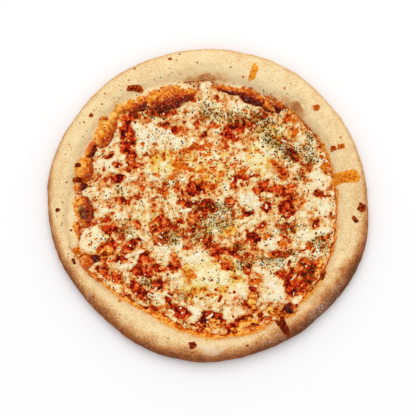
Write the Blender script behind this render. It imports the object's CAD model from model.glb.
import math

import bpy
import numpy as np
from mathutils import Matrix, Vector
from mathutils.bvhtree import BVHTree


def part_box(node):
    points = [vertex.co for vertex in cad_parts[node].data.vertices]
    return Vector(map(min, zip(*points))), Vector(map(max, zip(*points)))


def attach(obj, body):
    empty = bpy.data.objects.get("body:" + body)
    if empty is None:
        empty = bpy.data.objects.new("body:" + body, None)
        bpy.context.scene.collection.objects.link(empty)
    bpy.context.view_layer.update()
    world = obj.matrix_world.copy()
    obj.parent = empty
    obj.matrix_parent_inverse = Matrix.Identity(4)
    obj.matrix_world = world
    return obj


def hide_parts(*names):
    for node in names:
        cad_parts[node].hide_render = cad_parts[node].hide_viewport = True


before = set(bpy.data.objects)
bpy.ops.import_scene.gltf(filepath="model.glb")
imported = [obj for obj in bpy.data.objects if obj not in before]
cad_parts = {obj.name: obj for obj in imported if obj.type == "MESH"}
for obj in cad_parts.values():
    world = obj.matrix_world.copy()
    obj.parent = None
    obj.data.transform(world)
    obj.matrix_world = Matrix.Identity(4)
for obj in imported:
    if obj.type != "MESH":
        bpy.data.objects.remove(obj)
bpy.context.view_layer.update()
mm = 0.001
print("frame loaded with", len(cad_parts), "nodes")

# The dough's form, repeated from the part: metres and degrees
doughForm = {
    "outlineRadius": 0.1474,
    "bedRadius": 0.1212,
    "baseThickness": 0.0050,
    "rimHeight": 0.0200,
    "equatorHeight": 0.0080,
    "edgeRounding": 0.0080,
    "crestInset": 0.0060,
    "crestShare": 0.28,
    "outlineWaves": ((1, 0.0013, 74), (2, 0.0020, -15), (3, 0.0005, 37), (4, 0.0011, -13),
                     (5, 0.0007, -26), (8, 0.0003, -16), (10, 0.0003, -16)),
    "bedWaves": ((1, 0.0034, -139), (2, 0.0043, -19), (3, 0.0022, -60), (4, 0.0020, 22),
                 (5, 0.0013, -20), (6, 0.0009, 25)),
    "rimHeightWaves": ((2, 0.0009, 85), (3, 0.0009, 55), (5, 0.0005, 10), (9, 0.0003, 3)),
    # where the inner slope falls gently instead of as a wall: direction and half width
    "gentle": ((93, 11), (49, 6)),
}
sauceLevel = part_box("tomato_sauce")[1].z

# Lumps of dough that swelled over the bed: x, y, half length, half width (mm), heading, top (mm), depth of colour,
# which is below 0 where the lump stayed clean
doughLumps = (
    (-129.5, 4.0, 34.0, 5.6, 92, 12.5, -1.0), (-126.0, -31.0, 11.0, 4.6, 105, 11.0, -1.0),
    (-40.0, 99.4, 19.5, 11.2, 12, 15.5, 0.28), (-24.0, 102.0, 12.5, 6.0, 20, 15.0, 0.30),
    (-87.6, 82.4, 5.5, 4.6, 40, 11.5, 0.02), (-80.5, 89.6, 6.0, 5.0, 45, 12.5, 0.10),
    (-71.5, 92.2, 6.6, 6.0, 20, 12.5, 0.24), (-62.5, 94.9, 6.2, 6.0, 0, 13.0, 0.32),
    (-96.5, 67.5, 14.5, 9.0, 62, 14.5, 0.15), (-97.0, 79.0, 4.0, 2.6, 100, 14.0, 0.30),
    (-109.8, 50.5, 9.5, 5.0, 66, 12.0, 0.34), (-115.5, 33.6, 12.5, 8.0, 80, 13.0, 0.12),
    (-119.5, 16.6, 7.0, 3.6, 10, 10.0, 0.38), (-116.0, -6.2, 14.0, 9.0, 100, 13.5, 0.24),
    (-121.8, -25.0, 9.0, 3.2, 100, 10.5, 0.16), (-107.5, -50.8, 7.0, 4.4, 12, 9.5, 0.48),
    (75.0, -97.9, 7.5, 6.4, 20, 12.0, 0.35), (65.9, 91.2, 6.0, 3.8, 74, 14.0, 0.42),
    (21.0, 107.6, 14.0, 3.6, -10, 10.5, 0.36), (40.5, 101.2, 14.5, 7.4, -32, 9.6, 0.44),
    (56.0, 90.6, 7.0, 3.4, -42, 10.0, 0.30),
)


def waveSum(angle, waves):
    return sum(height * np.cos(count * (angle - math.radians(crest))) for count, height, crest in waves)


def outlineRadius(angle):
    return doughForm["outlineRadius"] + waveSum(angle, doughForm["outlineWaves"])


def bedRadius(angle):
    return doughForm["bedRadius"] + waveSum(angle, doughForm["bedWaves"])


def crestRadius(angle):
    outline = outlineRadius(angle)
    return outline - doughForm["crestInset"] - doughForm["crestShare"] * (outline - bedRadius(angle))


def rimTop(angle, radius):
    outline, crest, bed = outlineRadius(angle), crestRadius(angle), bedRadius(angle)
    base, low = doughForm["baseThickness"], doughForm["equatorHeight"]
    high = doughForm["rimHeight"] + waveSum(angle, doughForm["rimHeightWaves"])
    out = np.clip((radius - crest) / (outline - crest), 0, 1)
    shoulder = low + (high - low) * np.sqrt(1 - out**2.2)
    power = 2.4 + 0 * angle
    for way, half in doughForm["gentle"]:
        power = power - 1.2 * np.exp(-(((np.degrees(angle) - way + 180) % 360 - 180) / half) ** 2)
    inward = np.clip((crest - radius) / (crest - bed), 0, 1)
    return np.where(radius >= crest, shoulder, base + (high - base) * (1 - inward**power) ** 0.8)


# The part puts its origin in the middle of the outline's box
roundTurns = np.radians(np.arange(0, 360, 0.25))
outlineX = outlineRadius(roundTurns) * np.cos(roundTurns)
outlineY = outlineRadius(roundTurns) * np.sin(roundTurns)
middleX = (outlineX.min() + outlineX.max()) / 2
middleY = (outlineY.min() + outlineY.max()) / 2


def polarOf(x, y):
    return np.arctan2(y + middleY, x + middleX), np.hypot(x + middleX, y + middleY)


def smoothStep(value, low=0.0, high=1.0):
    share = np.clip((value - low) / (high - low), 0, 1)
    return share * share * (3 - 2 * share)


def softNoise(x, y, cell, seed):
    # smooth random heights from -1 to 1, with bumps about one cell wide
    turn = 0.7 * seed
    u = (x * math.cos(turn) - y * math.sin(turn)) / cell + 500
    v = (x * math.sin(turn) + y * math.cos(turn)) / cell + 500
    column, row = np.floor(u).astype(int), np.floor(v).astype(int)
    u, v = u - column, v - row
    u, v = u * u * (3 - 2 * u), v * v * (3 - 2 * v)
    dice = np.random.default_rng(seed).random((257, 257)) * 2 - 1
    near = dice[column % 257, row % 257] * (1 - u) + dice[(column + 1) % 257, row % 257] * u
    far = dice[column % 257, (row + 1) % 257] * (1 - u) + dice[(column + 1) % 257, (row + 1) % 257] * u
    return near * (1 - v) + far * v


def mixedNoise(x, y, cell, seed, layers=3):
    # each further layer is half as wide and a little over half as strong
    total = sum(0.58**i * softNoise(x, y, cell / 2**i, seed + 11 * i) for i in range(layers))
    return total / sum(0.58**i for i in range(layers))


def spotReach(x, y, spot):
    # 0 in a spot's middle, 1 round its edge; a spot starts x, y, half length, half width (mm), heading
    turn = math.radians(spot[4])
    dx, dy = x - spot[0] * mm, y - spot[1] * mm
    along = (dx * math.cos(turn) + dy * math.sin(turn)) / (spot[2] * mm)
    across = (dy * math.cos(turn) - dx * math.sin(turn)) / (spot[3] * mm)
    return np.hypot(along, across)


def spotShare(x, y, spots, ragged=0.0, seed=1):
    # how much of the spots lies here; a spot's sixth value is its strength
    share = np.zeros_like(x)
    x = x + ragged * mixedNoise(x, y, 9 * mm, seed)
    y = y + ragged * mixedNoise(x, y, 9 * mm, seed + 5)
    for spot in spots:
        share = np.maximum(share, spot[5] * smoothStep(1.35 - spotReach(x, y, spot), 0, 0.7))
    return share


def lumpReach(x, y, lump):
    return spotReach(x + 1.3 * mm * softNoise(x, y, 7 * mm, 13), y + 1.3 * mm * softNoise(x, y, 7 * mm, 16), lump)


def rootReach(x, y, lump):
    # the same, but wider where the lump grew out of the rim
    outward = np.clip((np.hypot(x, y) - math.hypot(lump[0], lump[1]) * mm) / (lump[3] * mm), 0, 1.5)
    return lumpReach(x, y, lump) * (1 - 0.3 * outward)


def doughHeight(x, y):
    # the rim, with the lumps merged into it over a soft crease
    height = rimTop(*polarOf(x, y))
    grain = 0.35 * mm * softNoise(x, y, 2.8 * mm, 14) + 0.18 * mm * softNoise(x, y, 1.7 * mm, 15)
    foot = 4 * mm
    for lump in doughLumps:
        reach = rootReach(x, y, lump)
        body = foot + (lump[5] * mm - foot + grain * smoothStep(lump[5], 9, 13)) * np.sqrt(np.clip(1 - reach**2, 0, 1))
        crease = 1.7 * mm * np.clip(1 - np.abs(height - body) / (7 * mm), 0, 1) ** 2
        height = np.maximum(height, body) + crease * smoothStep(1.3 - reach, 0, 0.3)
    return height


def paint(code):
    # an sRGB hex colour as the linear values that a shader takes
    parts = [int(code[i:i + 2], 16) / 255 for i in (1, 3, 5)]
    return tuple(c / 12.92 if c <= 0.04045 else ((c + 0.055) / 1.055) ** 2.4 for c in parts) + (1.0,)


def addNode(tree, kind, settings=None, links=None, output=0):
    # adds a node with its settings and links, and hands back one of its outputs
    made = tree.nodes.new("ShaderNode" + kind)
    for name, value in (settings or {}).items():
        if name == "stops":
            ramp = made.color_ramp.elements
            for stop, (position, code) in ((ramp[0], value[0]), (ramp[-1], value[-1])):
                stop.position = position
                stop.color = paint(code)
            for position, code in value[1:-1]:
                ramp.new(position).color = paint(code)
        elif isinstance(name, str) and hasattr(made, name):
            setattr(made, name, value)
        else:
            made.inputs[name].default_value = value
    for name, source in (links or {}).items():
        tree.links.new(source, made.inputs[name])
    return made.outputs[output]


def newMaterial(name, settings):
    material = bpy.data.materials.new(name)
    material.use_nodes = True
    tree = material.node_tree
    shader = tree.nodes["Principled BSDF"]
    for socket, value in settings.items():
        shader.inputs[socket].default_value = value
    return material, tree, shader, addNode(tree, "TexCoord", output="Object")


doughLook = {
    "bakeStops": ((0.0, "#ffe7b4"), (0.25, "#f2ca8e"), (0.5, "#d99a5a"), (0.72, "#ac5f2e"), (1.0, "#6a381a")),
    "stainStops": ((0.0, "#ffcb66"), (0.22, "#f79d28"), (0.45, "#dc6410"), (0.68, "#ae3006"), (1.0, "#560a02")),
    "charred": "#300400",
    "flour": "#f3e6d6",
}


def bakedDough():
    # Baked wheat dough, hand stretched: a dry skin, pale where it rose, tan to brown where the oven reached it.
    # Fine pores and flour keep it matte, and oil from the topping stains its inner side.
    material, tree, shader, place = newMaterial("baked wheat dough, hand stretched", {
        "Roughness": 0.6, "IOR": 1.45, "Specular IOR Level": 0.02})
    mottle = addNode(tree, "TexNoise", {"normalize": False, "Scale": 1 / (7 * mm), "Detail": 4.0, "Roughness": 0.6},
                     {"Vector": place})
    pores = addNode(tree, "TexNoise", {"normalize": False, "Scale": 1 / (1.3 * mm), "Detail": 3.0, "Roughness": 0.7},
                    {"Vector": place})
    patches = addNode(tree, "TexNoise", {"normalize": False, "Scale": 1 / (3.0 * mm), "Detail": 3.0, "Roughness": 0.7},
                      {"Vector": place})
    bake = addNode(tree, "Attribute", {"attribute_name": "bake"}, output="Fac")
    bake = addNode(tree, "Math", {"operation": "MULTIPLY_ADD", 1: 0.12}, {0: mottle, 2: bake})
    bake = addNode(tree, "Math", {"operation": "MULTIPLY_ADD", 1: 0.3}, {0: pores, 2: bake})
    skin = addNode(tree, "ValToRGB", {"stops": doughLook["bakeStops"]}, {"Fac": bake})

    depth = addNode(tree, "Attribute", {"attribute_name": "stainDepth"}, output="Fac")
    depth = addNode(tree, "Math", {"operation": "MULTIPLY_ADD", 1: 0.34}, {0: patches, 2: depth})
    oil = addNode(tree, "ValToRGB", {"stops": doughLook["stainStops"]}, {"Fac": depth})
    stain = addNode(tree, "Attribute", {"attribute_name": "stain"}, output="Fac")
    stain = addNode(tree, "Math", {"operation": "MULTIPLY_ADD", 1: 0.4}, {0: patches, 2: stain})
    stain = addNode(tree, "MapRange", {"interpolation_type": "SMOOTHSTEP", "From Min": 0.2, "From Max": 0.8},
                    {"Value": stain})
    colour = addNode(tree, "Mix", {"data_type": "RGBA"}, {0: stain, 6: skin, 7: oil}, 2)
    char = addNode(tree, "Attribute", {"attribute_name": "char"}, output="Fac")
    colour = addNode(tree, "Mix", {"data_type": "RGBA", 7: paint(doughLook["charred"])}, {0: char, 6: colour}, 2)
    dust = addNode(tree, "Attribute", {"attribute_name": "flour"}, output="Fac")
    dust = addNode(tree, "Math", {"operation": "MULTIPLY_ADD", 1: 0.9}, {0: pores, 2: dust})
    dust = addNode(tree, "MapRange", {"From Min": 0.35, "From Max": 1.2, "To Max": 0.75}, {"Value": dust})
    colour = addNode(tree, "Mix", {"data_type": "RGBA", 7: paint(doughLook["flour"])}, {0: dust, 6: colour}, 2)
    tree.links.new(colour, shader.inputs["Base Color"])

    shine = addNode(tree, "MapRange", {"To Min": 0.62, "To Max": 0.42}, {"Value": stain})
    tree.links.new(shine, shader.inputs["Roughness"])
    relief = addNode(tree, "Math", {"operation": "MULTIPLY_ADD", 1: 1.4}, {0: mottle, 2: pores})
    bump = addNode(tree, "Bump", {"Strength": 0.5, "Distance": 0.4 * mm}, {"Height": relief})
    tree.links.new(bump, shader.inputs["Normal"])
    return material


def tomatoSauce():
    # Cooked tomato sauce, crushed: wet pulp, deep red in the hollows and orange where oil has gathered.
    material, tree, shader, place = newMaterial("cooked tomato sauce, crushed", {
        "Roughness": 0.32, "IOR": 1.38, "Specular IOR Level": 0.04})
    pulp = addNode(tree, "TexNoise", {"normalize": False, "Scale": 1 / (4.5 * mm), "Detail": 3.0, "Roughness": 0.6},
                   {"Vector": place})
    bits = addNode(tree, "TexVoronoi", {"Scale": 1 / (2.8 * mm)}, {"Vector": place}, "Color")
    tone = addNode(tree, "Math", {"operation": "MULTIPLY_ADD", 1: 0.25, 2: 0.28}, {0: bits})
    tone = addNode(tree, "Math", {"operation": "MULTIPLY_ADD", 1: 0.75}, {0: pulp, 2: tone})
    red = addNode(tree, "ValToRGB", {"stops": sauceLook["stops"]}, {"Fac": tone})
    oily = addNode(tree, "Attribute", {"attribute_name": "oil"}, output="Fac")
    oily = addNode(tree, "Math", {"operation": "MULTIPLY_ADD", 1: 0.5}, {0: pulp, 2: oily})
    oily = addNode(tree, "MapRange", {"interpolation_type": "SMOOTHSTEP", "From Min": 0.25, "From Max": 0.95},
                   {"Value": oily})
    gold = addNode(tree, "ValToRGB", {"stops": sauceLook["oilStops"]}, {"Fac": tone})
    colour = addNode(tree, "Mix", {"data_type": "RGBA"}, {0: oily, 6: red, 7: gold}, 2)
    tree.links.new(colour, shader.inputs["Base Color"])
    bump = addNode(tree, "Bump", {"Strength": 0.7, "Distance": 0.7 * mm}, {"Height": tone})
    tree.links.new(bump, shader.inputs["Normal"])
    return material


sauceLook = {
    "stops": ((0.05, "#450602"), (0.25, "#8c1604"), (0.42, "#c22809"), (0.6, "#d84a12"), (0.8, "#ec7a2a"), (1.0, "#f3a058")),
    "oilStops": ((0.05, "#dc5a0a"), (0.35, "#f69522"), (0.75, "#ffcc66")),
}

cheeseLook = {
    # from a film over the sauce to a thick shred
    "depthStops": ((0.0, "#a32404"), (0.10, "#cb4a0a"), (0.22, "#e18233"), (0.38, "#e9b36d"), (0.58, "#f8daa0"),
                   (1.0, "#fdf2d0")),
    # the same where it lay richest in butterfat and turned golden
    "goldStops": ((0.0, "#b84206"), (0.15, "#dc6f0c"), (0.3, "#f3a32a"), (0.5, "#f3c255"), (0.75, "#f5da86"),
                  (1.0, "#fcf0c2")),
    "toastStops": ((0.0, "#ffac2c"), (0.3, "#f47e10"), (0.6, "#d44804"), (1.0, "#7e1c02")),
    "herbDust": "#7a4e14",
}


def meltedCheese():
    # Grated mozzarella, melted: creamy where it lies thick, stained through by sauce and oil where it is thin,
    # blistered gold to brown where it stood up to the oven's heat. Its curds keep a slight grain and shine.
    material, tree, shader, place = newMaterial("grated mozzarella, melted", {
        "Roughness": 0.42, "IOR": 1.44, "Specular IOR Level": 0.08, "Subsurface Weight": 0.08,
        "Subsurface Scale": 1 * mm})
    curd = addNode(tree, "TexNoise", {"normalize": False, "Scale": 1 / (4.5 * mm), "Detail": 3.0, "Roughness": 0.65},
                   {"Vector": place})
    fine = addNode(tree, "TexNoise", {"normalize": False, "Scale": 1 / (1.7 * mm), "Detail": 2.0, "Roughness": 0.7},
                   {"Vector": place})
    grains = addNode(tree, "TexVoronoi", {"Scale": 1 / (2.2 * mm)}, {"Vector": place}, "Color")
    depth = addNode(tree, "Attribute", {"attribute_name": "depth"}, output="Fac")
    depth = addNode(tree, "Math", {"operation": "MULTIPLY_ADD", 1: 0.18}, {0: grains, 2: depth})
    depth = addNode(tree, "Math", {"operation": "MULTIPLY_ADD", 1: 0.16}, {0: fine, 2: depth})
    depth = addNode(tree, "Math", {"operation": "MULTIPLY_ADD", 1: 0.4}, {0: curd, 2: depth})
    depth = addNode(tree, "MapRange", {"From Min": 0.09, "From Max": 1.09}, {"Value": depth})  # less the grains' mean
    body = addNode(tree, "ValToRGB", {"stops": cheeseLook["depthStops"]}, {"Fac": depth})
    gold = addNode(tree, "ValToRGB", {"stops": cheeseLook["goldStops"]}, {"Fac": depth})
    rich = addNode(tree, "Attribute", {"attribute_name": "yellow"}, output="Fac")
    rich = addNode(tree, "Math", {"operation": "MULTIPLY_ADD", 1: 0.6}, {0: curd, 2: rich})
    rich = addNode(tree, "MapRange", {"interpolation_type": "SMOOTHSTEP", "From Min": 0.1, "From Max": 0.8},
                   {"Value": rich})
    colour = addNode(tree, "Mix", {"data_type": "RGBA"}, {0: rich, 6: body, 7: gold}, 2)

    toast = addNode(tree, "Attribute", {"attribute_name": "toast"}, output="Fac")
    toast = addNode(tree, "Math", {"operation": "MULTIPLY_ADD", 1: 0.35}, {0: fine, 2: toast})
    brown = addNode(tree, "ValToRGB", {"stops": cheeseLook["toastStops"]}, {"Fac": toast})
    shown = addNode(tree, "MapRange", {"interpolation_type": "SMOOTHSTEP", "From Min": 0.12, "From Max": 0.35},
                    {"Value": toast})
    colour = addNode(tree, "Mix", {"data_type": "RGBA"}, {0: shown, 6: colour, 7: brown}, 2)
    dust = addNode(tree, "TexNoise", {"normalize": False, "Scale": 1 / (1.1 * mm), "Detail": 1.0}, {"Vector": place})
    herb = addNode(tree, "Attribute", {"attribute_name": "herb"}, output="Fac")
    dust = addNode(tree, "Math", {"operation": "MULTIPLY_ADD", 1: 0.8}, {0: dust, 2: herb})
    dust = addNode(tree, "MapRange", {"From Min": 0.7, "From Max": 1.3, "To Max": 0.7}, {"Value": dust})
    colour = addNode(tree, "Mix", {"data_type": "RGBA", 7: paint(cheeseLook["herbDust"])}, {0: dust, 6: colour}, 2)
    tree.links.new(colour, shader.inputs["Base Color"])

    shine = addNode(tree, "MapRange", {"From Min": -0.5, "From Max": 0.5, "To Min": 0.3, "To Max": 0.6},
                    {"Value": curd})
    tree.links.new(shine, shader.inputs["Roughness"])
    relief = addNode(tree, "Math", {"operation": "MULTIPLY_ADD", 1: 0.8}, {0: depth, 2: fine})
    bump = addNode(tree, "Bump", {"Strength": 0.45, "Distance": 0.6 * mm}, {"Height": relief})
    tree.links.new(bump, shader.inputs["Normal"])
    return material


def toastedCheese():
    # Cheese that fell on the hot rim and dried to an orange-brown crust, darker and harder on its thick parts.
    material, tree, shader, place = newMaterial("mozzarella, baked dry", {
        "Roughness": 0.45, "IOR": 1.46, "Specular IOR Level": 0.04})
    fine = addNode(tree, "TexNoise", {"normalize": False, "Scale": 1 / (2.0 * mm), "Detail": 3.0, "Roughness": 0.7},
                   {"Vector": place})
    dark = addNode(tree, "Attribute", {"attribute_name": "dark"}, output="Fac")
    dark = addNode(tree, "Math", {"operation": "MULTIPLY_ADD", 1: 0.4}, {0: fine, 2: dark})
    stops = ((0.0, "#ffb43c"), (0.3, "#ee861a"), (0.6, "#c24c08"), (0.8, "#8a2404"), (1.0, "#4c0e03"))
    colour = addNode(tree, "ValToRGB", {"stops": stops}, {"Fac": dark})
    tree.links.new(colour, shader.inputs["Base Color"])
    bump = addNode(tree, "Bump", {"Strength": 0.6, "Distance": 0.5 * mm}, {"Height": fine})
    tree.links.new(bump, shader.inputs["Normal"])
    return material


def driedHerb():
    # Oregano, dried and rubbed: dull brittle flakes from straw through olive to nearly black where they scorched.
    material, tree, shader, place = newMaterial("oregano, dried and rubbed", {
        "Roughness": 0.8, "IOR": 1.45, "Specular IOR Level": 0.02})
    tint = addNode(tree, "Attribute", {"attribute_name": "tint"}, output="Fac")
    veins = addNode(tree, "TexNoise", {"normalize": False, "Scale": 1 / (0.8 * mm), "Detail": 1.0}, {"Vector": place})
    tint = addNode(tree, "Math", {"operation": "MULTIPLY_ADD", 1: 0.15}, {0: veins, 2: tint})
    stops = ((0.0, "#160700"), (0.35, "#3a2004"), (0.6, "#6e4408"), (0.8, "#a0741e"), (1.0, "#cc9c3e"))
    colour = addNode(tree, "ValToRGB", {"stops": stops}, {"Fac": tint})
    tree.links.new(colour, shader.inputs["Base Color"])
    return material


def clearSelection():
    if bpy.context.object and bpy.context.object.mode != "OBJECT":
        bpy.ops.object.mode_set(mode="OBJECT")
    bpy.ops.object.select_all(action="DESELECT")


def pointsOf(piece):
    flat = np.empty(len(piece.data.vertices) * 3)
    piece.data.vertices.foreach_get("co", flat)
    return flat.reshape(-1, 3)


def movePoints(piece, points):
    piece.data.vertices.foreach_set("co", np.ascontiguousarray(points).ravel())
    piece.data.update()


def carry(piece, name, values):
    # stores one value for each point, for the material to read
    store = piece.data.attributes.new(name, "FLOAT", "POINT")
    store.data.foreach_set("value", np.asarray(values, np.float32))


def closeSeams(piece):
    clearSelection()
    bpy.context.view_layer.objects.active = piece
    piece.select_set(True)
    bpy.ops.object.mode_set(mode="EDIT")
    bpy.ops.mesh.select_all(action="SELECT")
    bpy.ops.mesh.remove_doubles(threshold=0.01 * mm)
    bpy.ops.mesh.normals_make_consistent(inside=False)
    bpy.ops.object.mode_set(mode="OBJECT")
    bpy.ops.object.shade_smooth()


def gridSheet(name, columns, rows):
    # a flat sheet of columns x rows points, ready to be bent; its points run along each row in turn
    clearSelection()
    bpy.ops.mesh.primitive_grid_add(x_subdivisions=columns - 1, y_subdivisions=rows - 1, size=1)
    piece = bpy.context.object
    piece.name = name
    piece.data.name = name
    return piece


def roundSheet(name, angle, rings):
    # bends a sheet into rings about the dough's centre; the first and last ring may be points
    sheet = gridSheet(name, len(angle), len(rings))
    points = np.empty((len(rings), len(angle), 3))
    for row, (radius, height) in enumerate(rings):
        points[row, :, 0] = radius * np.cos(angle) - middleX
        points[row, :, 1] = radius * np.sin(angle) - middleY
        points[row, :, 2] = height
    movePoints(sheet, points.reshape(-1, 3))
    closeSeams(sheet)
    return sheet


def finishPiece(piece, material, slot, *replaced):
    piece.data.materials.clear()
    piece.data.materials.append(material)
    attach(piece, "root")
    if replaced:
        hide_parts(*replaced)
    print(piece.name, "made with", sum(len(p.vertices) - 2 for p in piece.data.polygons), "triangles")


crustDetail = {
    "around": 860,
    "innerRings": 62,
    "lump": (20 * mm, 1.8 * mm),  # spacing and height
    "dimple": (6.5 * mm, 0.8 * mm),
    "blister": (3.2 * mm, 0.5 * mm),
    # how the oven coloured the rim: direction, browning on top, width (mm) and strength of the brown edge
    "browning": ((0, 0.18, 8, 0.42), (25, 0.16, 6, 0.26), (50, 0.12, 6, 0.22), (90, 0.10, 6, 0.24),
                 (130, 0.10, 6, 0.30), (165, 0.14, 6, 0.42), (195, 0.16, 9, 0.60), (222, 0.16, 17, 0.74),
                 (250, 0.16, 18, 0.72), (278, 0.13, 17, 0.72), (300, 0.16, 24, 0.82), (318, 0.14, 26, 0.84),
                 (338, 0.14, 19, 0.84)),
    "tanSpots": ((-1, 116, 20, 7, 0, 0.34), (79, 89, 17, 7, -46, 0.34), (-20, 124, 10, 3, 10, 0.12),
                 (-2, 118, 9, 4, 0, 0.56), (82, 91, 8, 4, -46, 0.56)),
    # oil and sauce stains on the inner slope: direction, half length (degrees), width (mm), depth of colour
    "stains": ((59, 5, 4.4, 0.28), (50, 8, 2.6, 0.25), (24, 14, 3.6, 0.10), (3, 12, 3.5, 0.07), (-16, 12, 3.5, 0.07), (-38, 14, 4.4, -0.04),
               (-54, 8, 5, 0.30), (-72, 12, 3.8, 0.05), (-90, 12, 4.4, -0.02), (-108, 12, 3.6, -0.04), (-128, 12, 2.4, 0.0),
               (-152, 8, 3, 0.3), (-160, 6, 4, 0.2)),
    "charSpots": ((-116.2, -7.0, 7.6, 5.2, 100, 0.9), (75.4, -98.0, 4.0, 3.0, 20, 1.0),
                  (-40, 88.5, 15, 2.4, 6, 0.4), (-108, 47, 3, 2.4, 0, 0.5)),
    "flourSpots": ((2, -134, 12, 5, 0, 0.7), (102, -97, 15, 7, 40, 0.40), (120, -78, 12, 5, 55, 0.26),
                   (-112, -84, 5, 3, 130, 0.4), (60, -124, 14, 4, 20, 0.28)),
}


def makeCrust():
    detail = crustDetail
    angle = np.linspace(0, math.tau, detail["around"] + 1)
    outline, crest, bed = outlineRadius(angle), crestRadius(angle), bedRadius(angle)
    rounding, equator, base = (doughForm[k] for k in ("edgeRounding", "equatorHeight", "baseThickness"))

    # how far the lumps reach in over the bed, widened a little to both sides
    inset = np.arange(0, 40, 0.5)[:, None] * mm
    tall = doughHeight((bed - inset) * np.cos(angle) - middleX, (bed - inset) * np.sin(angle) - middleY)
    reach = (inset * (tall > sauceLevel - mm)).max(0)
    reach = np.max([np.roll(reach, i) for i in range(-8, 9)], 0)
    reach = np.mean([np.roll(reach, i) for i in range(-6, 7)], 0)
    reach[-1] = reach[0]
    foot = bed - reach - 1.5 * mm

    rings = [(share * (outline - rounding), 0 * angle) for share in (0, 0.35, 0.7, 0.88, 0.96, 1.0)]
    for degrees in np.linspace(0, 90, 12)[1:]:
        t = math.radians(degrees)
        rings.append((outline - rounding * (1 - math.sin(t)), 0 * angle + equator * (1 - math.cos(t))))
    for degrees in np.linspace(90, 0, 28)[1:]:
        radius = crest + math.sin(math.radians(degrees)) * (outline - crest)
        rings.append((radius, rimTop(angle, radius)))
    for inward in np.linspace(0, 1, detail["innerRings"] + 1)[1:]:
        radius = crest + inward * (foot - crest)
        rings.append((radius, doughHeight(radius * np.cos(angle) - middleX, radius * np.sin(angle) - middleY)))
    rings += [(share * foot, 0 * angle + base) for share in (0.98, 0.5, 0)]  # the bed, hidden by the sauce
    crust = roundSheet("bakedCrust", angle, rings)

    # lumps, dimples and blisters, on everything but the underside and the bed
    x, y, z = pointsOf(crust).T
    angle, radius = polarOf(x, y)
    free = smoothStep(z, 1.5 * mm, 6 * mm) * np.where(radius < crestRadius(angle), smoothStep(z, 6 * mm, 9 * mm), 1)
    group = crust.vertex_groups.new(name="free")
    for weight in range(1, 11):
        chosen = np.nonzero(np.round(free * 10) == weight)[0]
        group.add(chosen.tolist(), weight / 10, "REPLACE")
    for kind in ("lump", "dimple", "blister"):
        texture = bpy.data.textures.new(kind, "CLOUDS")
        texture.noise_scale = detail[kind][0]
        texture.noise_depth = 2
        swell = crust.modifiers.new(kind, "DISPLACE")
        swell.texture = texture
        swell.texture_coords = "LOCAL"
        swell.strength = detail[kind][1]
        swell.mid_level = 0.5
        swell.vertex_group = "free"
        bpy.ops.object.modifier_apply(modifier=kind)
    crust.vertex_groups.clear()

    x, y, z = pointsOf(crust).T
    angle, radius = polarOf(x, y)
    turn = np.degrees(angle) % 360
    ways = [b[0] for b in detail["browning"]]
    onTop, width, edge = (np.interp(turn, ways, [b[i] for b in detail["browning"]], period=360) for i in (1, 2, 3))
    fromEdge = (outlineRadius(angle) - radius) / mm
    wobble = mixedNoise(x, y, 16 * mm, 3)
    brown = onTop + edge * smoothStep(1 - fromEdge / (width * (1 + 0.35 * wobble)), 0, 1.0)
    brown = np.where(z < 7.5 * mm, np.maximum(brown, 0.62 + 0.12 * wobble), brown)
    inner = smoothStep(crestRadius(angle) - radius, 0, 6 * mm)
    brown += spotShare(x, y, detail["tanSpots"], 3 * mm, 9)
    carry(crust, "bake", brown + 0.10 * mixedNoise(x, y, 30 * mm, 8) - 0.09 * inner)

    fromBed = (radius - bedRadius(angle)) / mm
    ragged = 0.35 * mixedNoise(x, y, 6 * mm, 5)
    clean = 1 - 0.9 * np.exp(-(((turn - 75) / 50) ** 4))  # no oil reached the far side
    stain = 0.5 * clean * smoothStep(0.8 - fromBed + ragged, 0, 1.0)
    depth = np.full_like(stain, 0.3)
    for way, half, reach, deep in detail["stains"]:
        near = np.exp(-0.5 * (((turn - way + 180) % 360 - 180) / (0.6 * half)) ** 2)
        mark = near * smoothStep(1.25 - fromBed / (reach * (1 + ragged)), 0, 1)
        depth = np.where(mark > stain, deep + 0.14 * smoothStep(1 - fromBed / reach, 0, 1), depth)
        stain = np.maximum(stain, mark)
    for lump in doughLumps:
        reach = lumpReach(x, y, lump)
        inward = (math.hypot(lump[0], lump[1]) * mm - radius) / (lump[3] * mm)
        mark = smoothStep(1.17 - reach + 0.6 * ragged, 0, 0.22 + 0.2 * smoothStep(-inward, 0, 1))
        if lump[6] < 0:
            stain = stain * (1 - mark)
            continue
        depth = np.where(mark > stain, lump[6] + (0.3 + 1.1 * lump[6]) * smoothStep(inward, -0.6, 0.8), depth)
        stain = np.maximum(stain, mark)
    carry(crust, "stain", np.where(z < 2 * mm, 0, stain))
    carry(crust, "stainDepth", depth)
    carry(crust, "char", spotShare(x, y, detail["charSpots"], 3 * mm, 21)
          * (0.95 + 1.4 * mixedNoise(x, y, 3.4 * mm, 4)).clip(0, 1))
    carry(crust, "flour", np.where(z < 1 * mm, 0, spotShare(x, y, detail["flourSpots"], 6 * mm, 31)))
    finishPiece(crust, bakedDough(), "dough", "crust")
    return crust


crust = makeCrust()

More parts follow.
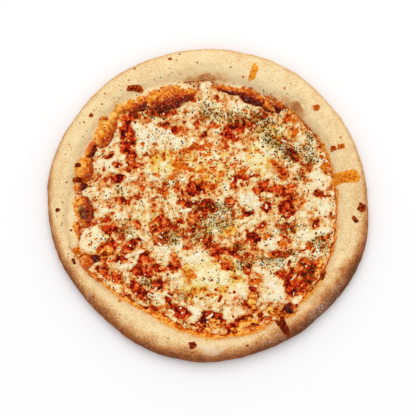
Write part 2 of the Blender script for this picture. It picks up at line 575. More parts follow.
# Where the topping lies: x, y, half length, half width (mm), heading (degrees), strength
topping = {
    "bare": (
        (-74, 56, 24, 6, 95, 1), (-73, 82, 11, 4, 5, 0.9), (-84, 24, 6, 4, 20, 1), (-60, 17, 4, 2.4, 20, 1),
        (-28, 17, 7, 3, 80, 0.8), (-14, 15, 9, 5, -20, 1), (-10, 74, 4, 3.5, 0, 0.9), (-40, 75, 5, 2.6, 10, 0.8),
        (-30, 71, 5, 3.2, 60, 0.9), (-42, 88, 14, 4, 0, 0.9), (20, 67, 7, 5, 80, 1), (29, 70, 5, 4, 0, 0.9),
        (41, 74, 4, 3, 60, 0.8), (6, 75, 4, 2, 90, 0.8), (53, 20, 6, 3, 70, 1), (68, 13, 14, 4, -8, 1),
        (72, -3, 9, 6, -30, 1), (68, 30, 9, 5, 90, 0.8), (107, 10, 9, 4, 0, 1), (80, 47, 8, 4, -60, 0.9),
        (34, 27, 8, 2.8, 10, 1), (46, 13, 4, 3, -40, 0.9), (54, -3, 6, 3.4, 30, 1), (39, -7, 5, 3.4, 20, 1),
        (30, -13, 5, 3, 20, 1), (50, -21, 4, 3, 0, 0.9), (1, -2, 9, 6, -20, 1), (21, 2, 5, 3.4, 0, 1),
        (-1, 18, 8, 3, -10, 0.9), (23, 22, 3, 5, 0, 0.9), (78, 18, 4, 3, 0, 0.9), (-94, -23, 7, 4, -10, 1),
        (-81, 3, 5, 3, 0, 1), (-92, -12, 6, 3, 20, 0.8), (-95, -40, 9, 7, 40, 1), (-71, -37, 11, 4.6, 35, 1),
        (-67, -20, 5, 3, 60, 0.8), (-44, -13, 6, 2.4, 0, 1), (-43, -24, 5, 4, 0, 0.8), (-44, -35, 7, 5, 0, 1),
        (-58, -52, 8, 6.5, 0, 1), (-58, -61, 16, 5, 5, 1), (-32, -54, 8, 5, 100, 1), (-81, -51, 5, 3.6, 0, 0.9),
        (-98, -63, 8, 4, -40, 0.9), (-85, -67, 5, 3, 70, 0.9), (-63, -81, 14, 4.4, -50, 1), (-47, -74, 5, 3.6, 0, 0.8),
        (-38, -88, 6, 2.6, 80, 0.9), (-25, -100, 9, 6, 20, 1), (-48, -104, 15, 4, -28, 0.9), (-20, 2, 10, 2.6, 5, 0.9),
        (-4, -8, 7, 6, 0, 1), (-25, -17, 3.4, 3, 0, 0.9), (77, -8, 5, 4, 0, 0.9), (70, -22, 5, 3, 0, 0.8),
        (100, -18, 6.5, 2.2, 55, 1), (109, -30, 6, 3.4, 30, 1), (42, -31, 9, 3.4, -50, 0.9), (16, -43, 11, 3.4, 5, 1),
        (10, -51, 7, 2, -45, 0.9), (18, -59, 6.5, 3.6, 0, 1), (24, -70, 7, 2.2, 5, 0.5), (66, -47, 10, 3, 5, 0.9),
        (36, -62, 6, 4, 60, 0.9), (67, -64, 5, 3.6, 0, 0.9), (84, -69, 19, 11, 55, 1), (-52, -92, 12, 4, -40, 0.6), (10, -104, 10, 3, 0, 0.6), (102, -57, 9, 4, 60, 0.9),
        (41, -87, 11, 4, 100, 0.9), (47, -105, 4, 3, 0, 0.9), (41, -110, 6, 3, 0, 0.9), (3, -109, 13, 8, 0, 1.2),
        (-93, 46, 5, 2.4, 30, 1), (-86, 37, 4, 2, 0, 1), (-97, 36, 4, 2, 60, 0.8), (21, -115, 7, 4, 60, 0.9), (33, -108, 6, 5, 40, 0.9), (66, -98, 8, 4, 30, 0.6),
    ),
    "rich": (
        (-91, 42, 9, 12, 0, 0.3), (-63, 52, 9, 4, 0, 1), (-52, 66, 17, 9, 0, 0.6), (-42, 40, 13, 11, 0, 0.35),
        (-72, 27, 8, 4, 10, 0.7), (-88, 12, 10, 7, 0, 0.8), (-24, 21, 3.6, 3, 0, 1), (101, 17, 10, 12, 20, 0.6),
        (96, 54, 6, 5, 0, 0.8), (38, 3, 9, 8, 0, 1.3), (48, 45, 9, 16, 0, 0.5), (109, -5, 5, 9, 0, 0.8),
        (-87, -8, 13, 5, 10, 0.7), (-61, -8, 8, 12, 0, 0.6), (-12, -49, 14, 8, 0, 0.8), (-38, -66, 12, 5, 0, 0.6),
        (-51, -87, 10, 5, 0, 0.4), (-12, -101, 6, 7, 0, 0.8), (-103, -30, 7, 4, 10, 0.8), (-77, -57, 8, 4, 10, 0.5),
        (5, -70, 18, 11, 0, 1.2), (26, -85, 11, 11, 0, 0.6), (60, -80, 11, 12, 10, 1.2), (55, -37, 9, 6, 0, 0.8),
        (95, -29, 13, 6, 0, 0.6), (58, -56, 12, 4, 0, 0.5), (8, -92, 14, 9, 0, 0.6), (19, -102, 5, 5, 0, 0.8),
        (82, 78, 9, 7, 0, 0.3), (10, 92, 14, 6, 10, 0.3), (-22, 56, 12, 6, 0, 0.3), (0, 36, 24, 16, 0, 0.45), (14, -24, 12, 6, 0, 0.4),
    ),
    "toasted": (
        (-24, 38, 11, 15, 0, 0.6), (0, 44, 14, 9, 15, 0.5), (6, 28, 12, 10, 0, 0.5), (26, 38, 10, 5, 0, 0.7), (68, 32, 7, 9, 0, 0.9),
        (79, 82, 8, 8, 0, 0.6), (79, 66, 5, 4, 0, 0.7), (108, 41, 9, 3, -60, 0.9), (-14, -67, 5, 4, 0, 0.8),
        (-18, -85, 3, 6, -20, 0.9), (-5, -86, 8, 2, 15, 0.8), (-2, -59, 5, 2, 10, 0.8), (12, -80, 18, 3, 8, 0.4),
        (14, -90, 4.5, 2.4, 10, 0.9), (24, -84, 6, 2, 30, 0.7), (70, -38, 7, 4, 0, 0.8), (42, -70, 9, 5, 20, 0.7),
        (41, -87, 10, 4, 100, 0.6), (18, -28, 3.4, 3, 0, 0.5), (61, -30, 6, 3, 10, 0.8), (95, -38, 4, 4, 0, 1.0),
        (66, -48, 10, 3.4, 5, 0.8), (16, -44, 11, 4, 5, 0.7), (-90, -50, 8, 6, 40, 0.6), (-42, 8, 9, 4, 10, 0.4),
        (3, 8, 10, 5, 20, 0.5), (86, -64, 15, 9, 55, 0.5), (8, 60, 10, 3, 0, 0.4), (-15, 82, 5, 3.4, 0, 0.8),
        (40, -25, 7, 5, -50, 0.5), (-20, 27, 14, 4, 0, 0.7), (52, 8, 6, 4, 0, 0.4), (88, -80, 8, 8, 0, 0.5),
    ),
    "scorched": (
        (-31, 40, 3.4, 2.6, 30, 0.48), (-17, 34, 3.4, 2.6, 0, 0.6), (32, 32, 3.6, 2.8, 0, 0.55), (-5, 17, 8, 3, -8, 0.46),
        (-2, 47, 7, 2.4, 10, 0.34), (15, 42, 4, 2.4, -20, 0.36), (-6, 32, 4, 2.4, 50, 0.4), (4, 30, 3.4, 2.4, 0, 0.4),
        (-14, 53, 9, 2.6, 18, 0.75), (-12, 53, 19, 3.4, 14, 0.52), (-27, 36, 8, 3.6, 60, 0.40), (-21, 34, 8, 2.4, 10, 0.42), (3, 40, 4, 2.6, 20, 0.42),
        (25, 37, 3.4, 2.8, 0, 0.46), (12, 28, 4, 3, 30, 0.46), (-32, 26, 4, 3, 0, 0.42), (-48, 28, 4, 2.6, 0, 0.40),
        (2, 18, 6, 2.6, -10, 0.42), (-8, 24, 4, 2.4, 40, 0.38), (95, -38, 4, 4, 0, 0.55), (66, -47, 9, 2.6, 5, 0.46),
        (69, -38, 6, 3, 0, 0.42), (26, -86, 5, 2.4, 25, 0.42), (80, 66, 4.5, 2.6, 60, 0.48), (79, 80, 5, 3, 0, 0.42),
        (-14, -67, 4, 3, 0, 0.40), (42, -70, 7, 4, 20, 0.42), (40, -88, 7, 3.4, 100, 0.40), (53, -30, 5, 2.6, 10, 0.42),
    ),
    "yellow": (
        (-42, 38, 15, 13, 0, 1), (48, 44, 12, 16, 0, 0.8), (14, -22, 18, 9, 0, 0.7), (5, -68, 28, 20, 0, 0.8),
        (0, 36, 26, 20, 0, 0.55), (60, 66, 14, 12, 0, 0.6), (95, -30, 14, 8, 0, 0.5), (-60, -10, 12, 10, 0, 0.3),
        (-107, -36, 14, 9, 45, 0.5),
    ),
    "oily": (
        (-41, -93, 13, 4, -38, 0.6), (41, -88, 11, 5, 100, 0.9), (3, -112, 14, 7, 0, 0.55), (35, -110, 13, 6, 20, 0.9), (60, -100, 10, 6, 30, 0.9),
        (-95, -46, 9, 7, 40, 0.6), (-50, -104, 16, 4, -28, 0.5), (92, -82, 12, 5, 50, 0.9), (107, -58, 16, 4, 66, 0.9),
    ),
    "overRim": (
        (-110, -34, 11, 8, 60, 1.0), (-101, -34, 6, 5, 40, 0.6), (109, 37, 3.4, 5, -70, 0.8), (113, 12, 2.4, 9, 85, 0.5),
        (112, -24, 2.4, 10, 95, 0.5), (-2, 113, 8, 3, 0, 0.6),
    ),
}


def southShare(angle):
    # where the oil ran together, because the pizza stood a little aslant in the oven
    return np.exp(-(((np.degrees(angle) % 360 - 258) / 42) ** 4))


def makeSauce():
    detail = {"pulpHeight": 0.55 * mm, "fineHeight": 0.25 * mm, "skirt": 1.2 * mm}
    angle = np.linspace(0, math.tau, 480 + 1)
    edge = bedRadius(angle) + 1.2 * mm
    rings = []
    for share in np.concatenate([np.linspace(0, 0.97, 100), [0.985, 1.0]]):
        x, y = share * edge * np.cos(angle) - middleX, share * edge * np.sin(angle) - middleY
        lift = detail["pulpHeight"] * mixedNoise(x, y, 5 * mm, 41) + detail["fineHeight"] * softNoise(x, y, 1.8 * mm, 42)
        rings.append((share * edge, sauceLevel + lift))
    for share in (1.0, 0):  # its side and its flat underside
        rings.append((share * edge, 0 * angle + sauceLevel - detail["skirt"]))
    sauce = roundSheet("tomatoSauce", angle, rings)
    x, y, z = pointsOf(sauce).T
    angle, radius = polarOf(x, y)
    fromEdge = (bedRadius(angle) - radius) / mm
    south = southShare(angle)
    fringe = 1 - (fromEdge + 3 * mixedNoise(x, y, 8 * mm, 44)) / (2.6 + 2.2 * south)
    oil = np.maximum(spotShare(x, y, topping["oily"], 5 * mm, 43), (0.75 + 0.6 * south) * smoothStep(fringe, 0, 0.6))
    carry(sauce, "oil", oil)
    finishPiece(sauce, tomatoSauce(), "sauce", "tomato_sauce")
    return sauce


sauce = makeSauce()

cheeseDetail = {
    "step": 0.70 * mm,
    "shreds": {"count": 5200, "length": (3, 8), "width": (2.2, 3.6), "height": (0.6, 1.7), "seed": 7},
    "flecks": {"count": 1900, "length": (2.4, 9.0), "width": (1.6, 4.0), "height": (0.4, 1.1), "seed": 8},
    "bareShare": 0.17,
    "rise": 3.2,
}


def blurred(field, reach, step):
    # spreads a square field over its neighbours, like heat
    waves = np.fft.fftfreq(len(field), step)
    fade = np.exp(-2 * (math.pi * reach) ** 2 * (waves[:, None] ** 2 + waves[None, :] ** 2))
    return np.real(np.fft.ifft2(np.fft.fft2(field) * fade))


def strewn(x, y, kind, wanted):
    # long grains dropped at random, more of them where they are wanted; heights in mm, softly joined
    detail, step, join = cheeseDetail[kind], cheeseDetail["step"], 0.3
    dice = np.random.default_rng(detail["seed"])
    pile = np.zeros_like(x)
    low, side = x[0, 0], len(x)
    for grain in range(detail["count"]):
        spot = dice.uniform(-0.122, 0.122, 2)
        length, width, height = (dice.uniform(*detail[k]) for k in ("length", "width", "height"))
        heading, bend, luck = dice.uniform(0, math.pi), dice.uniform(-0.5, 0.5), dice.random()
        column, row = (int(round((s - low) / step)) for s in spot)
        if luck > wanted[row, column]:
            continue
        reach = int((0.5 * length + width) * mm / step) + 1
        rows = slice(max(row - reach, 0), min(row + reach, side))
        columns = slice(max(column - reach, 0), min(column + reach, side))
        dx, dy = (x[rows, columns] - spot[0]) / mm, (y[rows, columns] - spot[1]) / mm
        along = dx * math.cos(heading) + dy * math.sin(heading)
        across = dy * math.cos(heading) - dx * math.sin(heading) - bend * along**2 / length
        beyond = np.maximum(np.abs(along) - 0.5 * max(length - width, 0), 0)
        away = np.hypot(beyond, across) / (0.5 * width)
        body = height * np.sqrt(np.clip(1 - away**2, 0, 1))
        pile[rows, columns] += np.expm1(body / join)
    return join * np.log1p(pile)


def makeCheese():
    step = cheeseDetail["step"]
    side = int(round(0.262 / step)) + 1
    ticks = (np.arange(side) - side // 2) * step
    x, y = np.meshgrid(ticks, ticks)
    angle, radius = polarOf(x, y)
    fromBed = (radius - bedRadius(angle)) / mm
    bare = spotShare(x, y, topping["bare"], 4.5 * mm, 51)
    rich = spotShare(x, y, topping["rich"], 4.5 * mm, 61)
    over = spotShare(x, y, topping["overRim"], 4 * mm, 65)
    zone = spotShare(x, y, topping["toasted"], 5 * mm, 81)
    wanted = np.clip(0.55 + 0.6 * rich - 0.62 * bare + 0.25 * mixedNoise(x, y, 16 * mm, 52), 0.04, 1)
    pile = strewn(x, y, "shreds", wanted)
    melt = smoothStep(mixedNoise(x, y, 18 * mm, 53), -0.5, 0.5) * 0.4 + 0.35 + 0.25 * rich
    heap = 0.7 * (pile * (1 - melt) + blurred(pile, 1.4 * mm, step) * melt) + 1.1 * rich - 1.6 * bare
    heap += 1.5 * mixedNoise(x, y, 11 * mm, 54, 4) + 0.2 * softNoise(x, y, 2.3 * mm, 55)
    depth = heap - np.quantile(heap[fromBed < -4], cheeseDetail["bareShare"])  # mm of cheese over the sauce
    edge = -1.5 - 2.6 * southShare(angle)
    thinning = 2.4 - 1.7 * np.exp(-(((np.degrees(angle) % 360 - 85) / 40) ** 4))
    depth -= thinning * smoothStep((fromBed + 1.8 * mixedNoise(x, y, 7 * mm, 57) - edge) / (1.5 - edge)) - 2.7 * over
    for lump in doughLumps:
        if lump[6] > 0:
            depth -= 3 * smoothStep(1.12 - rootReach(x, y, lump), 0, 0.25)
    lift = np.where(depth > 0, cheeseDetail["rise"] * (1 - np.exp(-depth / 1.7)), -0.9 * (1 - np.exp(depth / 0.35)))
    dough = np.clip(doughHeight(x, y) - sauceLevel, 0, (1.5 + 12 * over) * mm)
    height = sauceLevel + dough + (lift - 0.15) * mm + 1.2 * mm * blurred(rich, 2.5 * mm, step) * (depth > 0)
    flecks = strewn(x, y, "flecks", np.clip(0.06 + 0.5 * zone - 0.04 * rich, 0, 1))
    toast = flecks * (0.9 + 0.5 * softNoise(x, y, 3 * mm, 83)) * smoothStep(depth, -0.5, 0.4)
    toast = np.maximum(toast, spotShare(x, y, topping["scorched"], 4 * mm, 82) * smoothStep(depth, -0.8, 0))
    toast = np.maximum(toast, 0.5 * over * smoothStep(0.75 + 0.6 * mixedNoise(x, y, 5 * mm, 84), 0.6, 1.2))

    cheese = gridSheet("meltedCheese", side, side)
    movePoints(cheese, np.stack([x, y, height], -1).reshape(-1, 3))
    values = {"depth": np.clip(depth / 2.2, -0.1, 1), "toast": toast, "herb": herbShare(x, y),
              "yellow": spotShare(x, y, topping["yellow"], 8 * mm, 71)}
    for name, field in values.items():
        carry(cheese, name, field.reshape(-1))
    clearSelection()
    cheese.select_set(True)
    bpy.context.view_layer.objects.active = cheese
    bpy.ops.object.mode_set(mode="EDIT")
    bpy.ops.mesh.select_mode(type="VERT")
    bpy.ops.mesh.select_all(action="DESELECT")
    bpy.ops.object.mode_set(mode="OBJECT")
    spare = fromBed > 1.5 + 7 * over
    cheese.data.vertices.foreach_set("select", spare.reshape(-1))
    bpy.ops.object.mode_set(mode="EDIT")
    bpy.ops.mesh.delete(type="VERT")
    # a side and a flat underside, both hidden in the sauce and the dough, close the sheet
    bpy.ops.mesh.select_all(action="SELECT")
    bpy.ops.mesh.region_to_loop()
    bpy.ops.mesh.extrude_region_move(TRANSFORM_OT_translate={"value": (0, 0, -1.0 * mm)})
    bpy.ops.mesh.edge_face_add()
    bpy.ops.mesh.select_all(action="SELECT")
    bpy.ops.mesh.normals_make_consistent(inside=False)
    bpy.ops.object.mode_set(mode="OBJECT")
    bpy.ops.object.shade_smooth()
    finishPiece(cheese, meltedCheese(), "cheese", "melted_cheese")
    return cheese


herbs = {
    "sparse": 1700,
    "onRim": 110,
    "length": (0.8, 2.2),
    "seed": 17,
    # clusters: x, y, half length, half width (mm), heading, flakes
    "clusters": (
        (-46, 86, 14, 6, 0, 90), (-1, 87, 9, 10, 0, 90), (22, 82, 18, 7, -5, 190), (51, 79, 13, 10, -30, 260),
        (63, 59, 15, 8, -35, 260), (80, 47, 8, 8, 0, 110), (98, 43, 7, 5, -40, 90), (94, 53, 5, 4, 0, 45),
        (95, 63, 6, 3, -50, 50), (85, 26, 4, 4, 0, 30), (7, -3, 21, 7, 0, 210), (-35, -30, 10, 8, 0, 150),
        (-58, -72, 8, 5, 0, 60), (-77, -25, 6, 8, 30, 60), (-23, -84, 5, 4, 0, 25), (-53, -88, 9, 7, 0, 40),
        (-9, -27, 12, 12, 0, 120), (9, -18, 16, 9, 0, 170), (28, -41, 6, 4, 0, 60), (60, -52, 16, 5, 0, 130),
        (73, -21, 13, 8, 0, 90), (104, -36, 8, 8, 20, 120), (78, -45, 6, 4, 0, 40), (93, -65, 7, 12, -20, 130),
        (-82, 14, 5, 5, 0, 30), (-40, 20, 12, 10, 0, 60), (-50, 60, 18, 12, 0, 70), (33, -55, 9, 6, 0, 50),
    ),
}


def herbShare(x, y):
    # where the herb's dust colours the cheese
    spots = [(*cluster[:5], min(1.0, 1.1 * cluster[5] / cluster[2] / cluster[3])) for cluster in herbs["clusters"]]
    return spotShare(x, y, spots, 5 * mm, 91)


cheese = makeCheese()


def surfaceUnder(*pieces):
    # everything that small things can lie on, for dropping a plumb line
    points, faces = [], []
    for piece in pieces:
        start = len(points)
        points += [v.co.copy() for v in piece.data.vertices]
        faces += [[start + i for i in p.vertices] for p in piece.data.polygons]
    return BVHTree.FromPolygons(points, faces)


ground = surfaceUnder(crust, sauce, cheese)


def landing(x, y):
    return ground.ray_cast(Vector((x, y, 0.06)), Vector((0, 0, -1)))[:2]


def seedShape(segments, rings):
    # a coarse ball to make small things from, as its corners and faces
    clearSelection()
    bpy.ops.mesh.primitive_uv_sphere_add(segments=segments, ring_count=rings, radius=1)
    ball = bpy.context.object
    corners = pointsOf(ball)
    faces = [list(p.vertices) for p in ball.data.polygons]
    bpy.data.objects.remove(ball)
    return corners, faces


def joined(name, shape, copies):
    # one mesh from many copies of a shape, each with its own points
    corners, faces = shape
    count = len(corners)
    allFaces = [[i + count * copy for i in face] for copy in range(len(copies)) for face in faces]
    mesh = bpy.data.meshes.new(name)
    mesh.from_pydata(np.concatenate(copies).tolist(), [], allFaces)
    piece = bpy.data.objects.new(name, mesh)
    bpy.context.scene.collection.objects.link(piece)
    mesh.shade_smooth()
    return piece


def scattered(name, shape, spots, normals, sizes, ragged, sunk, dice):
    # many small uneven copies of a shape in one mesh, each lying along the surface that it landed on
    corners = shape[0]
    count = len(spots)
    points = corners[None] * (1 + ragged * dice.uniform(-1, 1, (count, len(corners), 1))) * sizes[:, None] / 2
    heading = dice.uniform(0, math.tau, count)
    forward = np.stack([np.cos(heading), np.sin(heading), 0 * heading], -1)
    normals = normals + dice.uniform(-0.3, 0.3, (count, 3))
    normals /= np.linalg.norm(normals, axis=1, keepdims=True)
    sideways = np.cross(normals, forward)
    sideways /= np.linalg.norm(sideways, axis=1, keepdims=True)
    axes = np.stack([np.cross(sideways, normals), sideways, normals], 1)
    lift = normals * sizes[:, 2:] * (0.5 - sunk)
    return joined(name, shape, np.einsum("nkc,ncd->nkd", points, axes) + (spots + lift)[:, None])


def makeHerbs():
    dice = np.random.default_rng(herbs["seed"])
    places, dark = [], []
    for x, y, halfLength, halfWidth, heading, flakes in herbs["clusters"]:
        turn = math.radians(heading)
        flakes = int(0.9 * flakes)
        along = dice.normal(0, 0.7 * halfLength, flakes)
        across = dice.normal(0, 0.7 * halfWidth, flakes)
        places += list(zip(x + along * math.cos(turn) - across * math.sin(turn),
                           y + along * math.sin(turn) + across * math.cos(turn)))
        dark += [0.42] * flakes
    for flake in range(herbs["sparse"]):
        reach, way = 119 * math.sqrt(dice.random()), dice.uniform(0, math.tau)
        places.append((reach * math.cos(way), reach * math.sin(way)))
        dark.append(0.25)
    for flake in range(herbs["onRim"]):
        way = math.radians(dice.choice([dice.uniform(100, 215), dice.uniform(0, 360)]))
        reach = dice.uniform(120, 143)
        places.append((reach * math.cos(way), reach * math.sin(way)))
        dark.append(0.5)
    spots, normals, tint = [], [], []
    for (x, y), shade in zip(places, dark):
        spot, normal = landing(x * mm, y * mm)
        if spot is not None:
            spots.append(spot)
            normals.append(normal)
            tint.append(np.clip(dice.normal(shade, 0.32), 0, 1))
    count = len(spots)
    lengths = dice.uniform(*herbs["length"], count)
    sizes = np.stack([lengths, lengths * dice.uniform(0.45, 0.95, count), np.full(count, 0.35)], -1) * mm
    shape = seedShape(5, 3)
    piece = scattered("oreganoFlakes", shape, np.array(spots), np.array(normals), sizes, 0.35, 0.1, dice)
    carry(piece, "tint", np.repeat(tint, len(shape[0])))
    finishPiece(piece, driedHerb(), "cheese")


makeHerbs()

crumbs = {
    "pale": {"count": 450, "length": (1.0, 3.0), "everywhere": 1.0, "seed": 27},
    "toasted": {"count": 550, "length": (1.0, 3.4), "everywhere": 0.1, "seed": 28},
}


def makeCrumbs():
    shape = seedShape(7, 5)
    for kind, detail in crumbs.items():
        dice = np.random.default_rng(detail["seed"])
        reach, way = 117 * mm * np.sqrt(dice.random(9000)), dice.uniform(0, math.tau, 9000)
        x, y = reach * np.cos(way), reach * np.sin(way)
        zone = spotShare(x, y, topping["toasted"]) if kind == "toasted" else 0
        wanted = (dice.random(9000) < detail["everywhere"] + zone) & (doughHeight(x, y) < sauceLevel + mm)
        landed = [landing(*place) for place in zip(x[wanted][:detail["count"]], y[wanted][:detail["count"]])]
        spots, normals = (np.array(part) for part in zip(*landed))
        length = dice.uniform(*detail["length"], len(spots))
        sizes = np.stack([length, length * dice.uniform(0.45, 0.9, len(spots)), length * 0.4], -1) * mm
        piece = scattered(kind + "Crumbs", shape, spots, normals, sizes, 0.16, 0.3, dice)
        shade = np.repeat(dice.random(len(spots)), len(shape[0]))
        if kind == "pale":
            carry(piece, "depth", 0.3 + 0.7 * shade)
            finishPiece(piece, bpy.data.materials["grated mozzarella, melted"], "cheese")
        else:
            carry(piece, "dark", 0.15 + 0.6 * shade)
            finishPiece(piece, toastedCheese(), "toasted_cheese")


makeCrumbs()

looseShreds = {
    # shreds that fell last and kept their shape: x, y, length, width (mm), heading, bend
    "placed": ((-68, -46, 20, 3.8, 20, 0.08), (-62, -30, 17, 3.6, -40, 0.15), (-21, -5.5, 12, 3.8, 8, 0.1),
               (-84, -56, 9, 2.8, 55, 0.3), (-77, -62, 9, 2.6, 70, -0.3), (77, -14, 8, 2.6, 60, 0.3),
               (44, 23, 8, 2.8, 10, 0.3), (2, -104, 8, 2.6, 40, 0.4)),
    "random": 26,
    "length": (4, 8),
    "width": (1.6, 2.4),
    "seed": 37,
}


def makeLooseShreds():
    detail = looseShreds
    dice = np.random.default_rng(detail["seed"])
    shreds = list(detail["placed"])
    while len(shreds) < len(detail["placed"]) + detail["random"]:
        reach, way = 110 * math.sqrt(dice.random()), dice.uniform(0, math.tau)
        shreds.append((reach * math.cos(way), reach * math.sin(way), dice.uniform(*detail["length"]),
                       dice.uniform(*detail["width"]), dice.uniform(0, 180), dice.uniform(-0.6, 0.6)))
    shape = seedShape(7, 9)
    ball = shape[0]
    flat = np.hypot(ball[:, 0], ball[:, 1])
    copies, shade = [], []
    for x, y, length, width, heading, bend in shreds:
        turn = math.radians(heading)
        along = np.sign(ball[:, 2]) * np.abs(ball[:, 2]) ** 0.8 * 0.5 * length  # the ball's poles become the ends
        thick = 0.5 * width * flat**0.6 * (1 + 0.2 * dice.uniform(-1, 1, len(ball)))
        across = thick * ball[:, 0] / np.maximum(flat, 0.01) + bend * along**2 / length
        up = 0.6 * thick * ball[:, 1] / np.maximum(flat, 0.01)
        stops = np.linspace(-0.5, 0.5, 9) * length
        bed = []
        for s in stops:
            side = bend * s * s / length
            spot = landing((x + s * math.cos(turn) - side * math.sin(turn)) * mm,
                           (y + s * math.sin(turn) + side * math.cos(turn)) * mm)[0]
            bed.append(spot.z)
        bed = np.array(bed)
        bed = np.maximum(bed, np.convolve(np.pad(bed, 2, "edge"), np.full(5, 0.2), "valid"))
        px = (x + along * math.cos(turn) - across * math.sin(turn)) * mm
        py = (y + along * math.sin(turn) + across * math.cos(turn)) * mm
        copies.append(np.stack([px, py, np.interp(along, stops, bed) + (up + 0.12 * width) * mm], -1))
        shade.append(dice.uniform(0.7, 1.0))
    piece = joined("looseShreds", shape, copies)
    closeSeams(piece)
    carry(piece, "depth", np.repeat(shade, len(ball)))
    finishPiece(piece, bpy.data.materials["grated mozzarella, melted"], "cheese")


makeLooseShreds()

# Scraps baked onto the rim, each in place of its CAD node:
# length, width, thickness (mm), heading, how much narrower the far end is, darkness
rimScraps = {
    "stripNorth": ("cheese_strip_north", 15.6, 6.2, 1.3, 72, 0.0, 0.20),
    "squareNortheast": ("cheese_square_northeast", 6.2, 5.6, 1.7, 15, 0.0, 0.50),
    "bitEastOuter": ("cheese_bit_east_outer", 6.8, 4.8, 1.7, 14, -0.1, 0.50),
    "bitEastInner": ("cheese_bit_east_inner", 5.4, 4.8, 1.7, 18, 0.0, 0.62),
    "patchEast": ("cheese_patch_east", 24.0, 11.6, 1.1, 8, 0.15, 0.26),
    "blobEast": ("sauce_blob_east", 7.8, 7.6, 2.2, 70, 0.2, 0.80),
    "fleckEast": ("sauce_fleck_east", 7.2, 4.0, 1.6, -51, 0.0, 0.80),
    "dripSoutheast": ("sauce_drip_southeast", 19.0, 7.2, 1.3, -61, 0.45, 0.88),
    "dotSouth": ("sauce_dot_south", 6.6, 6.4, 1.7, 20, 0.0, 0.82),
    "stripWest": ("cheese_strip_west", 11.6, 5.4, 1.9, -8, 0.0, 0.78),
    "stripNorthwest": ("cheese_strip_northwest", 15.0, 6.0, 2.2, -3, 0.0, 0.74),
}

# Smaller ones: x, y, length, width, thickness (mm), heading, darkness
rimCrumbs = (
    (-139.0, -5.8, 4.4, 3.6, 1.2, 20, 0.8), (-120.9, 36.6, 5.4, 4.2, 1.6, 10, 0.85), (-108.6, 82.4, 4.2, 3.6, 1.2, 30, 0.7),
    (-35.4, 135.6, 4.0, 3.0, 1.0, 10, 0.6), (-68.4, 126.6, 2.2, 2.0, 0.8, 0, 0.6), (36.3, -130.6, 2.4, 2.0, 0.8, 0, 0.8),
    (-81.5, -89.4, 3.4, 3.0, 0.9, 0, 0.25), (-123.8, -53.2, 6.4, 3.0, 1.2, -65, 0.8), (-121.6, -43.0, 7.0, 6.2, 1.4, 0, 0.38),
    (71.2, 107.6, 2.2, 2.0, 0.8, 0, 0.3), (123.0, 61.6, 2.2, 2.0, 0.8, 0, 0.4), (32.6, 118.4, 2.2, 2.0, 0.8, 0, 0.35),
    (108.4, 35.6, 9.0, 6.6, 2.2, 60, 0.36), (105.6, 45.0, 4.4, 3.4, 1.8, 0, 0.55), (106.4, -65.6, 9.4, 4.6, 1.8, 72, 0.75),
    (114.4, -8.8, 5.4, 2.6, 1.4, 85, 0.7), (4.6, 111.4, 4.0, 3.4, 1.4, 0, 0.45), (-110.6, 45.8, 4.0, 3.4, 1.6, 30, 0.85),
    (-131, 20, 1.8, 1.4, 0.6, 0, 0.8), (-127, -24, 2.6, 2.0, 0.8, 40, 0.85), (-96, 103, 1.8, 1.4, 0.6, 0, 0.6),
)


def drapedScrap(seed, ball, x, y, length, width, thickness, heading, taper=0):
    # lays a ball flat as a ragged scrap on whatever is under it
    turn = math.radians(heading)
    way, flat = np.arctan2(ball[:, 1], ball[:, 0]), np.hypot(ball[:, 0], ball[:, 1])
    corner = (np.abs(np.cos(way)) ** 5 + np.abs(np.sin(way)) ** 5) ** (-1 / 5)
    ragged = 1 + 0.10 * np.sin(3 * way + seed) + 0.07 * np.sin(5 * way + 2 * seed) + 0.04 * np.sin(9 * way + seed)
    spread = flat**0.8 * corner * ragged
    along, across = 0.5 * length * spread * np.cos(way), 0.5 * width * spread * np.sin(way)
    across *= 1 - taper * np.cos(way) * flat
    px = (x + along * math.cos(turn) - across * math.sin(turn)) * mm
    py = (y + along * math.sin(turn) + across * math.cos(turn)) * mm
    lumps = 1 + 0.45 * mixedNoise(px, py, 3.5 * mm, 90 + seed)
    points = np.stack([px, py, np.where(ball[:, 2] > 0, ball[:, 2] * thickness * lumps, 0.6 * ball[:, 2]) * mm], -1)
    for point in points:
        spot = landing(point[0], point[1])[0]
        point[2] += spot.z if spot is not None else 10 * mm
    return points, 0.25 * (1 - flat) + 0.15 * mixedNoise(px, py, 5 * mm, 70 + seed)


def makeScraps():
    material = bpy.data.materials["mozzarella, baked dry"]
    for seed, (name, (node, *size, darkness)) in enumerate(rimScraps.items()):
        clearSelection()
        bpy.ops.mesh.primitive_uv_sphere_add(segments=40, ring_count=20, radius=1)
        scrap = bpy.context.object
        scrap.name = name
        scrap.data.name = name
        low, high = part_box(node)
        middle = (low + high) / (2 * mm)
        points, dark = drapedScrap(seed, pointsOf(scrap), middle.x, middle.y, *size)
        movePoints(scrap, points)
        bpy.ops.object.shade_smooth()
        carry(scrap, "dark", darkness - 0.1 + dark)
        finishPiece(scrap, material, "toasted_cheese" if node.startswith("cheese") else "baked_sauce", node)
    shape = seedShape(12, 7)
    copies, shade = [], []
    for seed, (*size, darkness) in enumerate(rimCrumbs):
        points, dark = drapedScrap(40 + seed, shape[0], *size)
        copies.append(points)
        shade.append(darkness - 0.1 + dark)
    piece = joined("rimCrumbs", shape, copies)
    carry(piece, "dark", np.concatenate(shade))
    finishPiece(piece, material, "toasted_cheese")


makeScraps()

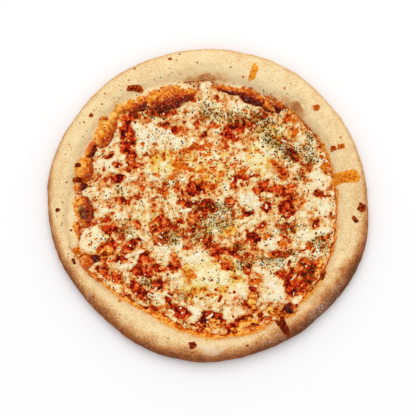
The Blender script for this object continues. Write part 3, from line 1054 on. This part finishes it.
# Studio: a pale sweep, one wide soft light from the far side, and white all round
studio = {
    "sweepShades": ("#fdfdfd", "#ffffff"),
    "surroundings": 0.65,
    "softboxPower": 43.5,
    "softboxSize": 2.4,
    "softboxHeight": 67,
    "softboxAway": 3.0,
    "lens": 135,
    "elevation": 86,
    "viewWidth": 0.3876,
    "aim": (0, -0.0031, 0.008),
}


def makeStudio():
    bpy.ops.mesh.primitive_plane_add(size=8, location=(0, 0, -0.0001))
    table = bpy.context.object
    table.name = "paleSweep"
    material, tree, shader, place = newMaterial("matte paper sweep", {"Roughness": 0.9, "Specular IOR Level": 0.1})
    cloud = addNode(tree, "TexNoise", {"Scale": 1 / 0.4, "Detail": 1.0}, {"Vector": place})
    light, dark = (paint(code) for code in studio["sweepShades"])
    colour = addNode(tree, "Mix", {"data_type": "RGBA", 6: light, 7: dark}, {0: cloud}, 2)
    tree.links.new(colour, shader.inputs["Base Color"])
    table.data.materials.append(material)

    world = bpy.data.worlds.new("white studio")
    world.use_nodes = True
    world.node_tree.nodes["Background"].inputs["Color"].default_value = (1, 1, 1, 1)
    world.node_tree.nodes["Background"].inputs["Strength"].default_value = studio["surroundings"]
    bpy.context.scene.world = world

    rise, away = math.radians(studio["softboxHeight"]), studio["softboxAway"]
    light = bpy.data.lights.new("softbox", "AREA")
    light.shape = "SQUARE"
    light.size = studio["softboxSize"]
    light.energy = studio["softboxPower"]
    lamp = bpy.data.objects.new("softbox", light)
    lamp.location = (0.0, away * math.cos(rise), away * math.sin(rise))
    lamp.rotation_euler = (-(math.pi / 2 - rise), 0, 0)
    bpy.context.scene.collection.objects.link(lamp)

    camera = bpy.data.cameras.new("camera")
    camera.lens = studio["lens"]
    camera.sensor_width = 36
    camera.clip_end = 10
    reach = studio["viewWidth"] * studio["lens"] / camera.sensor_width
    tilt = math.radians(studio["elevation"])
    eye = bpy.data.objects.new("camera", camera)
    eye.location = Vector(studio["aim"]) + reach * Vector((0, -math.cos(tilt), math.sin(tilt)))
    eye.rotation_euler = (math.pi / 2 - tilt, 0, 0)
    bpy.context.scene.collection.objects.link(eye)
    bpy.context.scene.camera = eye
    bpy.context.scene.view_settings.view_transform = "Standard"


makeStudio()
